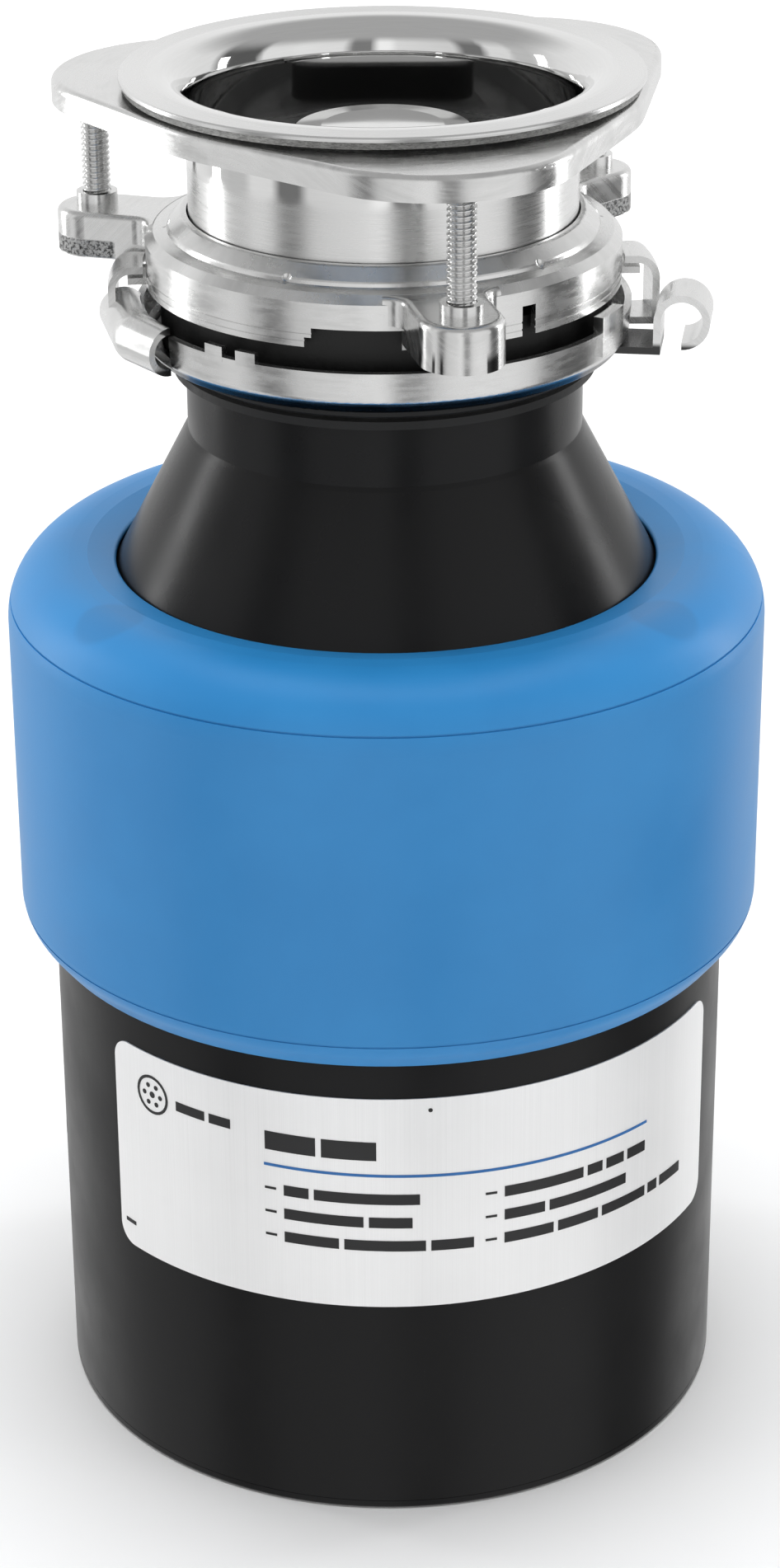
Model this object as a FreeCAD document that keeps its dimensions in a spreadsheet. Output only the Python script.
import FreeCAD, Part
import math
import os
import Sketcher

# A kitchen garbage disposal, in millimetres. The frame's origin is the centre of the wrench
# hole in the base, +Z is up along the motor shaft and -Y is the front, where the nameplate is.
# Each sub-part is one object of the document, and its Label names its file in parts/.

# ---------------------------------------------------------------- driving dimensions

SIZES = {
    # sink flange and what clamps it to the sink
    "overall_height": 320.0,
    "flange_radius": 57.15,
    "flange_gauge": 1.0,
    "throat_radius": 42.0,
    "throat_rounding": 8.0,
    "neck_gauge": 0.9,
    "neck_bottom": 277.0,
    "fibre_gauge": 1.6,
    "fibre_outer": 56.4,
    "fibre_inner": 50.6,
    "plate_top": 316.5,
    "plate_gauge": 1.8,
    "plate_depth": 5.5,
    "plate_disc_radius": 57.0,
    "plate_lobe_radius": 31.0,
    "plate_reach": 74.4,
    "plate_hole_radius": 45.6,
    "plate_rounding": 1.6,
    "screw_circle": 66.8,
    "screw_radius": 3.175,
    "screw_tip": 314.6,
    "screw_head_radius": 5.0,
    "screw_head_bottom": 273.8,
    "screw_head_depth": 3.6,
    "snap_ring_height": 284.6,
    "snap_ring_wire": 0.8,
    # upper mounting ring
    "zinc_gauge": 1.6,
    "collar_inner": 43.3,
    "collar_top": 289.3,
    "collar_outer": 47.4,
    "upper_shoulder": 285.0,
    "upper_wall_radius": 52.5,
    "upper_bottom": 273.5,
    "lobe_half_width": 9.0,
    "lobe_top": 285.0,
    "lobe_root_fillet": 5.0,
    "lobe_root_bottom": 278.8,
    "lobe_bottom": 275.0,
    "lobe_rounding": 1.6,
    "boss_radius": 4.6,
    "boss_height": 3.5,
    "notch_rise": 4.2,
    "slot_rise": 6.5,
    "ledge_radius": 56.6,
    "ledge_gauge": 1.5,
    "ledge_width": 11.0,
    # lower mounting ring
    "band_bottom": 259.5,
    "band_top": 269.0,
    "band_radius": 54.8,
    "band_hole_radius": 47.7,
    "ear_radius": 6.2,
    "ear_length": 13.0,
    "ear_height": 267.0,
    "ear_circle": 66.4,
    "tube_radius": 5.4,
    "tube_bore": 3.9,
    "tube_depth": 14.0,
    "tube_height": 265.4,
    "hook_radius": 61.0,
    "hook_lip_radius": 53.2,
    "hook_bend": 5.0,
    "hook_top": 277.6,
    "hook_width": 13.0,
    "tab_height": 2.2,
    # rubber cushion and stopper
    "cushion_bottom": 254.0,
    "cushion_waist": 47.2,
    "cushion_radius": 49.5,
    "cushion_top": 276.7,
    "baffle_height": 270.5,
    "baffle_gauge": 1.5,
    "baffle_hole": 14.0,
    "stopper_base": 289.0,
    "stopper_radius": 41.2,
    "stopper_hub_radius": 20.6,
    "cap_radius": 21.4,
    "cap_top": 307.4,
    # grinding chamber
    "neck_radius": 44.3,
    "neck_foot": 240.0,
    "cone_top_radius": 44.9,
    "cone_top": 239.0,
    "cone_exit_radius": 60.7,
    "cone_exit": 208.85,
    "chamber_radius": 70.5,
    "chamber_wall": 3.6,
    "lip_radius": 46.0,
    "lip_bottom": 263.0,
    "chamber_top": 266.6,
    "hopper_radius": 40.5,
    "inlet_radius": 11.1125,
    "inlet_bore": 8.6,
    "inlet_height": 229.0,
    "inlet_end": 84.0,
    "inlet_plug_face": 60.0,
    "inlet_plug_gauge": 2.5,
    "inlet_root_radius": 13.4,
    "inlet_root_face": 58.0,
    "joint_height": 158.0,
    "joint_gasket": 1.0,
    "joint_flange_radius": 77.6,
    "joint_flange_depth": 4.0,
    "joint_screw_circle": 74.2,
    "joint_screw_radius": 2.0,
    "grind_ring_radius": 66.7,
    "grind_ring_gauge": 2.0,
    "grind_ring_bottom": 159.4,
    "grind_ring_top": 184.0,
    "grind_slot_width": 5.0,
    "grind_slot_height": 9.0,
    "turntable_radius": 63.6,
    "turntable_gauge": 2.2,
    "turntable_height": 164.0,
    "lug_circle": 40.0,
    "lug_reach": 22.0,
    "lug_heel": 8.0,
    "lug_half_width": 7.0,
    "lug_thickness": 8.0,
    "lug_bore": 4.1,
    "rivet_radius": 4.05,
    # drain chamber and discharge
    "drain_floor": 124.0,
    "drain_floor_gauge": 3.5,
    "drain_hub_radius": 15.0,
    "drain_hub_top": 149.0,
    "outlet_height": 141.0,
    "outlet_bore": 13.8,
    "outlet_wall": 3.0,
    "outlet_face": 88.5,
    "outlet_pad_half_width": 33.5,
    "outlet_pad_half_height": 16.0,
    "outlet_pad_depth": 4.0,
    "waste_pipe_radius": 19.05,
    "waste_pipe_gauge": 2.2,
    "discharge_gasket_gauge": 2.0,
    "discharge_collar_radius": 22.0,
    "discharge_plate_gauge": 2.4,
    "discharge_screw_spacing": 56.0,
    "discharge_centre": 120.0,
    "discharge_bend": 23.0,
    "discharge_end": 62.0,
    # sound shell
    "shell_radius": 86.55,
    "shell_hole": 61.0,
    "shell_hole_height": 208.8,
    "shell_crown_radius": 72.0,
    "shell_crown": 210.2,
    "shell_shoulder_rounding": 14.5,
    "shell_gauge": 2.6,
    "shell_bottom": 119.3,
    "shell_foot_radius": 82.05,
    "shell_foot_top": 125.0,
    "shell_foot_rounding": 8.0,
    "shell_upper_seam": 200.0,
    "shell_lower_seam": 126.4,
    "foam_inner": 78.2,
    "foam_bottom": 128.0,
    "foam_top": 197.0,
    # motor housing and base
    "housing_radius": 78.9,
    "housing_gauge": 1.2,
    "housing_top": 123.4,
    "base_bead_height": 2.2,
    "base_floor": 3.0,
    "base_gauge": 1.2,
    "base_rim_radius": 72.5,
    "wrench_hole_radius": 6.0,
    "wrench_collar_radius": 7.4,
    "supply_hole_radius": 11.1125,
    "supply_hole_x": 38.0,
    "supply_hole_y": -38.0,
    "dimple_depth": 0.8,
    # nameplate
    "label_gauge": 0.3,
    "label_bottom": 55.6,
    "label_top": 109.4,
    "label_sweep": 119.6,
    "label_middle": 277.4,
    "label_corner": 5.0,
    # motor
    "frame_radius": 77.4,
    "upper_frame_bottom": 112.0,
    "upper_frame_top": 123.7,
    "upper_boss_bottom": 101.0,
    "boss_outer": 17.0,
    "lower_frame_bottom": 22.0,
    "lower_frame_top": 29.0,
    "lower_boss_bottom": 14.0,
    "bearing_radius": 11.0,
    "shaft_radius": 6.35,
    "shaft_bore": 6.4,
    "shaft_bottom": 11.0,
    "shaft_top": 177.0,
    "stator_radius": 68.6,
    "stator_bottom": 44.0,
    "stator_top": 92.0,
    "stator_bore": 40.6,
    "slot_width": 4.4,
    "slot_depth": 13.0,
    "winding_bulge": 13.0,
    "winding_inner": 42.8,
    "winding_outer": 61.5,
    "rotor_radius": 40.0,
    "rotor_bottom": 46.0,
    "rotor_top": 92.0,
    "end_ring_height": 5.0,
    "through_bolt_circle": 73.3,
    "through_bolt_radius": 2.4,
    "throw_collar_radius": 20.0,
    "throw_collar_height": 32.3,
    # base fittings
    "button_radius": 4.2,
    "button_x": -44.0,
    "button_y": -20.0,
    "button_face": 0.5,
    "button_length": 9.0,
    "ground_x": 16.0,
    "ground_y": -56.0,
    "terminal_low_y": 30.0,
    "terminal_high_y": 66.0,
    "terminal_half_width": 26.0,
}

# The three clamping screws stand under the plate's lobes. Angles run from +X, seen from above.
SCREW_ANGLES = (43.7, 163.7, 283.7)
# The left ear's line, from its open end back along the band: (radius, angle)
LEFT_EAR_LINE = ((54.2, 211.5), (56.8, 199.0), (58.0, 178.5))
SCROLL_ANGLES = (352.0, 86.0)
HOOK_ANGLES = (180.5, 5.5, 112.0)
TONGUE_ANGLE = 333.0
TAB_ANGLES = (228.5, 237.5)
DIMPLE_ANGLES = (4.0, 64.0, 124.0, 183.0, 244.5, 314.0)
GRIND_SLOTS = 30
STATOR_SLOTS = 24
JOINT_SCREWS = 6
THROUGH_BOLT_ANGLES = (45.0, 135.0, 225.0, 315.0)
HOUSING_DIMPLES = ((187.0, 102.0), (187.5, 64.0))


class Size:
    """A number together with the sheet expression that it comes from."""

    def __init__(self, number, text):
        self.number = float(number)
        self.text = text

    def __float__(self):
        return self.number

    def join(self, sign, other, number):
        return Size(number, f"({self.text} {sign} {words(other)})")

    def __add__(self, other):
        return self.join("+", other, self.number + float(other))

    def __sub__(self, other):
        return self.join("-", other, self.number - float(other))

    def __mul__(self, other):
        return self.join("*", other, self.number * float(other))

    def __truediv__(self, other):
        return self.join("/", other, self.number / float(other))

    def __rsub__(self, other):
        return Size(float(other) - self.number, f"({words(other)} - {self.text})")

    def __neg__(self):
        return self * -1.0


class Sizes:
    """The driving dimensions by name, each one a Size."""


def words(value):
    return value.text if isinstance(value, Size) else f"({float(value):.6f})"


doc = FreeCAD.newDocument("GarbageDisposal")
sheet = doc.addObject("Spreadsheet::Sheet", "sizes")
d = Sizes()
for row, (alias, number) in enumerate(SIZES.items(), start=1):
    sheet.set(f"A{row}", alias)
    sheet.set(f"B{row}", str(number))
    sheet.setAlias(f"B{row}", alias)
    setattr(d, alias, Size(number, f"sizes.{alias}"))
doc.recompute()

# ---------------------------------------------------------------- drawing helpers

subparts = []


def bind(thing, name, size):
    """Set a property, and tie it to the sheet when the size comes from there."""
    target = thing
    steps = name.split(".")
    for step in steps[:-1]:
        target = getattr(target, step)
    if len(steps) == 1:
        setattr(target, steps[-1], float(size))
    if isinstance(size, Size):
        thing.setExpression(name, size.text)


def start_body(label):
    body = doc.addObject("PartDesign::Body", label)
    body.Label = label
    subparts.append(body)
    return body


def origin_item(body, role):
    return next(item for item in body.Origin.OriginFeatures if item.Role == role)


def sketch_on(body, role, height=None):
    """A sketch on one of the body's own origin planes, lifted along its normal."""
    sketch = body.newObject("Sketcher::SketchObject", f"{body.Label}_sketch")
    sketch.AttachmentSupport = (origin_item(body, role), [""])
    sketch.MapMode = "FlatFace"
    lift = float(height) if height is not None else 0.0
    sketch.AttachmentOffset = FreeCAD.Placement(FreeCAD.Vector(0, 0, lift), FreeCAD.Rotation())
    if isinstance(height, Size):
        sketch.setExpression("AttachmentOffset.Base.z", height.text)
    return sketch


def hold(sketch, kind, edge, point, size):
    parts = (kind, edge, point, float(size)) if point else (kind, edge, float(size))
    number = sketch.addConstraint(Sketcher.Constraint(*parts))
    if isinstance(size, Size):
        sketch.setExpression(f"Constraints[{number}]", size.text)


def draw_outline(sketch, corners):
    """Straight edges through the corners, each corner held at its place from the sheet."""
    first = sketch.GeometryCount
    spots = [FreeCAD.Vector(float(x), float(y), 0) for x, y in corners]
    count = len(spots)
    for i in range(count):
        sketch.addGeometry(Part.LineSegment(spots[i], spots[(i + 1) % count]), False)
    ends = [Sketcher.Constraint("Coincident", first + i, 2, first + (i + 1) % count, 1)
            for i in range(count)]
    sketch.addConstraint(ends)
    for i, (x, y) in enumerate(corners):
        hold(sketch, "DistanceX", first + i, 1, x)
        hold(sketch, "DistanceY", first + i, 1, y)


def draw_circle(sketch, x, y, radius):
    edge = sketch.GeometryCount
    centre = FreeCAD.Vector(float(x), float(y), 0)
    sketch.addGeometry(Part.Circle(centre, FreeCAD.Vector(0, 0, 1), float(radius)), False)
    hold(sketch, "Radius", edge, None, radius)
    hold(sketch, "DistanceX", edge, 3, x)
    hold(sketch, "DistanceY", edge, 3, y)


def rectangle(x_low, y_low, x_high, y_high):
    return [(x_low, y_low), (x_high, y_low), (x_high, y_high), (x_low, y_high)]


def revolve(body, *outlines):
    """Turn outlines of (radius, height) corners once round the Z axis."""
    sketch = sketch_on(body, "XZ_Plane")
    for corners in outlines:
        draw_outline(sketch, corners)
    turn = body.newObject("PartDesign::Revolution", f"{body.Label}_turn")
    turn.Profile = sketch
    turn.ReferenceAxis = (sketch, ["V_Axis"])
    turn.Angle = 360
    doc.recompute()
    return turn


def groove(body, *outlines):
    """Cut outlines of (radius, height) corners once round the Z axis."""
    sketch = sketch_on(body, "XZ_Plane")
    for corners in outlines:
        draw_outline(sketch, corners)
    cut = body.newObject("PartDesign::Groove", f"{body.Label}_groove")
    cut.Profile = sketch
    cut.ReferenceAxis = (sketch, ["V_Axis"])
    cut.Angle = 360
    doc.recompute()
    return cut


def raise_pad(body, sketch, length):
    pad = body.newObject("PartDesign::Pad", f"{body.Label}_pad")
    pad.Profile = sketch
    bind(pad, "Length", length)
    doc.recompute()
    return pad


def sink_pocket(body, sketch, depth, up=False):
    """Cut down from the sketch, or up when asked, and make sure that something went."""
    before = body.Shape.Volume
    pocket = body.newObject("PartDesign::Pocket", f"{body.Label}_pocket")
    pocket.Profile = sketch
    bind(pocket, "Length", depth)
    pocket.Reversed = up
    doc.recompute()
    if body.Shape.Volume > before - 1e-3:
        raise RuntimeError(f"a pocket in {body.Label} cuts nothing")
    return pocket


def pattern(body, features, count):
    """Repeat features round the Z axis."""
    ring = body.newObject("PartDesign::PolarPattern", f"{body.Label}_pattern")
    ring.Originals = features
    ring.Axis = (origin_item(body, "Z_Axis"), [""])
    ring.Angle = 360
    ring.Occurrences = count
    body.Tip = ring
    doc.recompute()
    return ring


def round_circles(body, radius, *spots):
    """Fillet the circular edges that have these (radius, height) places."""
    base = body.Tip
    names = []
    for number, edge in enumerate(base.Shape.Edges, start=1):
        curve = edge.Curve
        if not isinstance(curve, Part.Circle):
            continue
        for wanted, height in spots:
            near = abs(curve.Radius - float(wanted)) < 0.02
            if near and abs(curve.Center.z - float(height)) < 0.02:
                names.append(f"Edge{number}")
    if not names:
        raise RuntimeError(f"no edge to round on {body.Label}")
    fillet = body.newObject("PartDesign::Fillet", f"{body.Label}_round")
    fillet.Base = (base, names)
    bind(fillet, "Radius", radius)
    doc.recompute()
    return fillet


def on_circle(radius, angle):
    """The X and Y of a place at this radius and angle in degrees."""
    turn = math.radians(angle)
    return radius * math.cos(turn), radius * math.sin(turn)


def cylinder(label, radius, height, base=(0.0, 0.0, 0.0), axis=(0, 0, 1)):
    piece = doc.addObject("Part::Cylinder", label)
    bind(piece, "Radius", radius)
    bind(piece, "Height", height)
    set_place(piece, base, FreeCAD.Rotation(FreeCAD.Vector(0, 0, 1), FreeCAD.Vector(*axis)))
    return piece


def box(label, length, width, height, base):
    piece = doc.addObject("Part::Box", label)
    bind(piece, "Length", length)
    bind(piece, "Width", width)
    bind(piece, "Height", height)
    set_place(piece, base, FreeCAD.Rotation())
    return piece


def set_place(piece, base, rotation):
    piece.Placement = FreeCAD.Placement(FreeCAD.Vector(*[float(v) for v in base]), rotation)
    for letter, value in zip("xyz", base):
        if isinstance(value, Size):
            piece.setExpression(f"Placement.Base.{letter}", value.text)


def boolean(kind, label, pieces):
    """Part::MultiFuse or Part::MultiCommon of several objects."""
    result = doc.addObject(f"Part::{kind}", label)
    result.Shapes = pieces
    return result


def cut(label, base, tool):
    result = doc.addObject("Part::Cut", label)
    result.Base = base
    result.Tool = tool
    return result


def finished(piece, label):
    piece.Label = label
    subparts.append(piece)
    doc.recompute()
    return piece


def sector(radius, angle, half_sweep, low, high):
    """A wedge-shaped block of space about the Z axis, as a plain shape for cutting."""
    wedge = Part.makeCylinder(float(radius), float(high) - float(low), FreeCAD.Vector(0, 0, float(low)),
                              FreeCAD.Vector(0, 0, 1), 2 * half_sweep)
    wedge.rotate(FreeCAD.Vector(), FreeCAD.Vector(0, 0, 1), angle - half_sweep)
    return wedge


def ring_sector(inner, outer, angle, half_sweep, low, high):
    return sector(outer, angle, half_sweep, low, high).cut(
        sector(inner, angle, half_sweep + 2.0, low - 1.0, high + 1.0))


def set_shape(label, shape):
    """A sub-part whose outline neither bodies nor primitives make, built with Part's functions."""
    piece = doc.addObject("Part::Feature", label)
    piece.Shape = shape
    piece.Placement = FreeCAD.Placement()
    return finished(piece, label)


# ---------------------------------------------------------------- sink flange and clamp

def make_sink_flange():
    body = start_body("sink_flange")
    outer = d.throat_radius + d.neck_gauge
    under = d.overall_height - d.flange_gauge
    groove_low = d.snap_ring_height - d.snap_ring_wire
    groove_high = d.snap_ring_height + d.snap_ring_wire
    groove_bottom = outer - 0.4
    revolve(body, [
        (d.throat_radius, d.neck_bottom), (outer, d.neck_bottom),
        (outer, groove_low), (groove_bottom, groove_low),
        (groove_bottom, groove_high), (outer, groove_high),
        (outer, under), (d.flange_radius, under),
        (d.flange_radius, d.overall_height), (d.throat_radius, d.overall_height)])
    round_circles(body, d.throat_rounding, (d.throat_radius, d.overall_height))
    round_circles(body, d.throat_rounding - d.neck_gauge, (outer, under))
    round_circles(body, d.flange_gauge * 0.6, (d.flange_radius, d.overall_height))


def make_fibre_gasket():
    body = start_body("fibre_gasket")
    top = d.overall_height - d.flange_gauge
    revolve(body, rectangle(d.fibre_inner, top - d.fibre_gauge, d.fibre_outer, top))


def lobed_wire(disc, reach, lobe, height):
    """A disc with three rounded lobes joined to it by straight tangents."""
    lean = math.degrees(math.asin((disc - lobe) / reach))
    open_half = 90.0 - lean
    edges = []
    for angle in SCREW_ANGLES:
        cx, cy = on_circle(reach, angle)

        def on_lobe(turn):
            x, y = on_circle(lobe, turn)
            return FreeCAD.Vector(cx + x, cy + y, height)

        def on_disc(turn):
            return FreeCAD.Vector(*on_circle(disc, turn), height)
        start, end = angle - open_half, angle + open_half
        edges.append(Part.makeLine(on_disc(start), on_lobe(start)))
        edges.append(Part.Arc(on_lobe(start), on_lobe(angle), on_lobe(end)).toShape())
        edges.append(Part.makeLine(on_lobe(end), on_disc(end)))
        follow = angle + 120.0 - open_half
        edges.append(Part.Arc(on_disc(end), on_disc((end + follow) / 2), on_disc(follow)).toShape())
    return Part.Wire(edges)


def make_backup_flange():
    top, gauge = float(d.plate_top), float(d.plate_gauge)
    low = top - float(d.plate_depth)
    disc, lobe = float(d.plate_disc_radius), float(d.plate_lobe_radius)
    reach = float(d.plate_reach - d.plate_lobe_radius)
    down = FreeCAD.Vector(0, 0, -1)
    blank = Part.Face(lobed_wire(disc, reach, lobe, top)).extrude(down * (top - low))
    rim = [edge for edge in blank.Edges
           if all(abs(v.Point.z - top) < 1e-6 for v in edge.Vertexes)]
    blank = blank.makeFillet(float(d.plate_rounding), rim)
    hollow = Part.Face(lobed_wire(disc - gauge, reach, lobe - gauge, top - gauge))
    plate = blank.cut(hollow.extrude(down * (top - low)))
    hole = Part.makeCylinder(float(d.plate_hole_radius), 10.0, FreeCAD.Vector(0, 0, low))
    set_shape("backup_flange", plate.cut(hole).removeSplitter())


def make_mounting_screws():
    """Three slotted machine screws, driven up against the backup flange."""
    screws = []
    head_top = d.screw_head_bottom + d.screw_head_depth
    for number, angle in enumerate(SCREW_ANGLES):
        x, y = on_circle(d.screw_circle, angle)
        shank = cylinder(f"screw_shank_{number}", d.screw_radius, d.screw_tip - head_top, (x, y, head_top))
        head = cylinder(f"screw_head_{number}", d.screw_head_radius, d.screw_head_depth,
                        (x, y, d.screw_head_bottom))
        slot = box(f"screw_slot_{number}", 12.0, 1.2, 1.3, (0, 0, 0))
        slot.Placement = FreeCAD.Placement(
            FreeCAD.Vector(float(x), float(y), float(d.screw_head_bottom)),
            FreeCAD.Rotation(FreeCAD.Vector(0, 0, 1), angle)).multiply(
            FreeCAD.Placement(FreeCAD.Vector(-6.0, -0.6, 0), FreeCAD.Rotation()))
        whole = boolean("MultiFuse", f"screw_whole_{number}", [shank, head])
        screws.append(cut(f"screw_{number}", whole, slot))
    group = doc.addObject("Part::Compound", "mounting_screws")
    group.Links = screws
    finished(group, "mounting_screws")


def make_snap_ring():
    """A sprung wire ring with a gap, seated in the neck's groove."""
    wire, height = float(d.snap_ring_wire), float(d.snap_ring_height)
    centre = float(d.throat_radius + d.neck_gauge) - 0.4 + wire
    loop = Part.makeTorus(centre, wire - 0.02, FreeCAD.Vector(0, 0, height), FreeCAD.Vector(0, 0, 1),
                          -180, 180, 352)
    loop.rotate(FreeCAD.Vector(), FreeCAD.Vector(0, 0, 1), 94)
    set_shape("snap_ring", loop)


# ---------------------------------------------------------------- mounting rings

def make_upper_mounting_ring():
    """A drawn ring: a collar round the neck, a shoulder, a wall and three lobes with bosses."""
    body = start_body("upper_ring_pressing")
    subparts.remove(body)
    gauge = d.zinc_gauge
    inner = d.upper_wall_radius - gauge
    revolve(body, [
        (d.collar_inner, d.collar_top - gauge), (d.collar_inner, d.collar_top),
        (d.collar_inner + 1.2, d.collar_top), (d.collar_outer, d.collar_top - 2.8),
        (d.collar_outer + 0.3, d.upper_shoulder + 0.6),
        (d.upper_wall_radius - 1.8, d.upper_shoulder),
        (d.upper_wall_radius, d.upper_shoulder - 1.8),
        (d.upper_wall_radius, d.upper_bottom), (inner, d.upper_bottom),
        (inner, d.upper_shoulder - 2.6), (inner - 0.8, d.upper_shoulder - gauge),
        (d.collar_outer - 1.2, d.upper_shoulder - gauge), (d.collar_outer - 1.4, d.collar_top - 3.4),
        (d.collar_inner + 0.9, d.collar_top - gauge)])
    round_circles(body, 0.9, (d.collar_outer, d.collar_top - 2.8),
                  (d.collar_inner + 1.2, d.collar_top))
    groove(body, rectangle(d.upper_wall_radius - 0.25, d.upper_bottom + 1.2,
                           d.upper_wall_radius + 1, d.upper_bottom + 1.6),
           rectangle(d.upper_wall_radius - 0.25, d.upper_bottom + 2.8,
                     d.upper_wall_radius + 1, d.upper_bottom + 3.2))
    doc.recompute()
    adds = [ring_lobe(angle) for angle in SCREW_ANGLES]
    gaps = []
    low = float(d.upper_bottom) - 1.0
    edge = float(d.upper_bottom)
    wall = float(d.upper_wall_radius) + 2.0
    core = float(d.upper_wall_radius) - 3.0
    gaps.append(ring_sector(core, wall, 263.5, 10.5, low, edge + float(d.notch_rise)))
    gaps.append(ring_sector(core, wall, 252.5, 1.2, low, edge + float(d.notch_rise) * 0.5))
    gaps.append(ring_sector(core, wall, 305.5, 1.9, low, edge + float(d.slot_rise)))
    for angle in DIMPLE_ANGLES:
        x, y = on_circle(float(d.collar_outer) + 1.0, angle)
        gaps.append(Part.makeSphere(1.7, FreeCAD.Vector(x, y, float(d.collar_top) - 2.2)))
    ledges = []
    half_sweep = math.degrees(float(d.ledge_width) / 2 / float(d.ledge_radius))
    for angle in HOOK_ANGLES:
        ledges.append(ring_sector(float(d.upper_wall_radius) - 0.8, float(d.ledge_radius), angle, half_sweep,
                                  edge, edge + float(d.ledge_gauge)))
    ring = body.Shape.multiFuse(adds + ledges)
    ring = ring.cut(Part.makeCompound(gaps)).removeSplitter()
    set_shape("upper_mounting_ring", ring)


SINK_IN = 0.15    # rounded roots start this deep in the wall, so that they cross its face cleanly


def lobe_outline(half, fillet, root, height):
    """A tongue from the ring's wall out to the screw, with rounded roots when fillet isn't 0."""
    wall, reach = float(d.upper_wall_radius) - SINK_IN, float(d.screw_circle)
    centre_y = half + fillet
    centre_x = math.sqrt((wall + fillet) ** 2 - centre_y ** 2)
    lean = math.atan2(centre_y, centre_x)
    middle = 1.25 * math.pi + lean / 2

    def spot(x, y):
        return FreeCAD.Vector(x, y, height)

    def side(sign):
        foot = spot(wall * math.cos(lean), sign * wall * math.sin(lean))
        bend = spot(centre_x, sign * half)
        pieces = [Part.makeLine(spot(root * math.cos(lean), sign * root * math.sin(lean)), foot),
                  Part.makeLine(bend, spot(reach, sign * half))]
        if fillet:
            halfway = spot(centre_x + fillet * math.cos(middle),
                           sign * (centre_y + fillet * math.sin(middle)))
            pieces.append(Part.Arc(foot, halfway, bend).toShape())
        return pieces
    tip = Part.Arc(spot(reach, half), spot(reach + half, 0.0), spot(reach, -half)).toShape()
    inside = Part.Arc(*(spot(root * math.cos(turn), root * math.sin(turn)) for turn in (-lean, 0.0, lean)))
    edges = side(1) + side(-1) + [tip, inside.toShape()]
    return Part.Face(Part.Wire(Part.__sortEdges__(edges)))


def ring_lobe(angle):
    """A drawn lobe with a boss for its screw; its top runs into the ring's shoulder."""
    half, gauge = float(d.lobe_half_width), float(d.zinc_gauge)
    low, top, root = float(d.lobe_bottom), float(d.lobe_top), float(d.upper_wall_radius) - 1.55
    up = FreeCAD.Vector(0, 0, 1)
    flare_low = float(d.lobe_root_bottom)
    flared = lobe_outline(half, float(d.lobe_root_fillet), root, flare_low).extrude(up * (top - flare_low))
    rim = [edge for edge in flared.Edges
           if all(abs(v.Point.z - top) < 1e-6 for v in edge.Vertexes)
           and edge.CenterOfMass.x > float(d.upper_wall_radius) - 0.2]
    flared = flared.makeFillet(float(d.lobe_rounding), rim)
    straight = lobe_outline(half, 0.0, root, low).extrude(up * (flare_low - low))
    hollow = lobe_outline(half - gauge, 0.0, root + 0.65, low).extrude(up * (top - gauge - low))
    spot = FreeCAD.Vector(float(d.screw_circle), 0, top - 0.5)
    boss = Part.makeCylinder(float(d.boss_radius), float(d.boss_height), spot)
    hole = Part.makeCylinder(float(d.screw_radius), 20.0, FreeCAD.Vector(float(d.screw_circle), 0, low))
    lobe = flared.multiFuse([straight, boss]).cut(hollow).cut(hole).removeSplitter()
    lobe.rotate(FreeCAD.Vector(), up, angle)
    return lobe


def scroll_ear(angle):
    """An open scroll of the ring's own strip, rolled outward for the mounting wrench."""
    gauge, radius = float(d.zinc_gauge), float(d.ear_radius)
    length, centre, height = float(d.ear_length), float(d.ear_circle), float(d.ear_height)
    axis = FreeCAD.Vector(0, 1, 0)
    start = FreeCAD.Vector(centre, -length / 2, height)
    outer = Part.makeCylinder(radius, length, start, axis)
    inner = Part.makeCylinder(radius - gauge, length, start, axis)
    roll = outer.cut(inner)
    corner = FreeCAD.Vector(centre - radius, -length / 2, height - radius)
    mouth = Part.makeBox(radius, length, radius, corner)
    roll = roll.cut(mouth)
    limb_foot = float(d.band_bottom)
    limb = Part.makeBox(gauge, length, height - limb_foot,
                        FreeCAD.Vector(centre - radius, -length / 2, limb_foot))
    inside = float(d.band_radius) - 3.6
    web = Part.makeBox(centre - radius + gauge - inside, length, gauge,
                       FreeCAD.Vector(inside, -length / 2, limb_foot))
    ear = roll.fuse(limb).fuse(web).removeSplitter()
    ear.rotate(FreeCAD.Vector(), FreeCAD.Vector(0, 0, 1), angle)
    return ear


def tube_ear():
    """The closed ear: rods joined end to end along its line, and the bore of its open end."""
    radius, height = float(d.tube_radius), float(d.tube_height)
    spots = [FreeCAD.Vector(*on_circle(circle, angle), height) for circle, angle in LEFT_EAR_LINE]
    rods = []
    for near, far in zip(spots, spots[1:]):
        run = far - near
        rods.append(Part.makeCylinder(radius, run.Length, near, run))
    rods.append(Part.makeSphere(radius, spots[1]))
    inside = Part.makeCylinder(float(d.band_radius - d.zinc_gauge / 2), 4 * radius,
                               FreeCAD.Vector(0, 0, height - 2 * radius))
    rods = [rod.cut(inside) for rod in rods]
    inward = (spots[1] - spots[0]).normalize()
    bore = Part.makeCylinder(float(d.tube_bore), float(d.tube_depth) + 0.5, spots[0] - inward * 0.5, inward)
    return rods, bore


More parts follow.
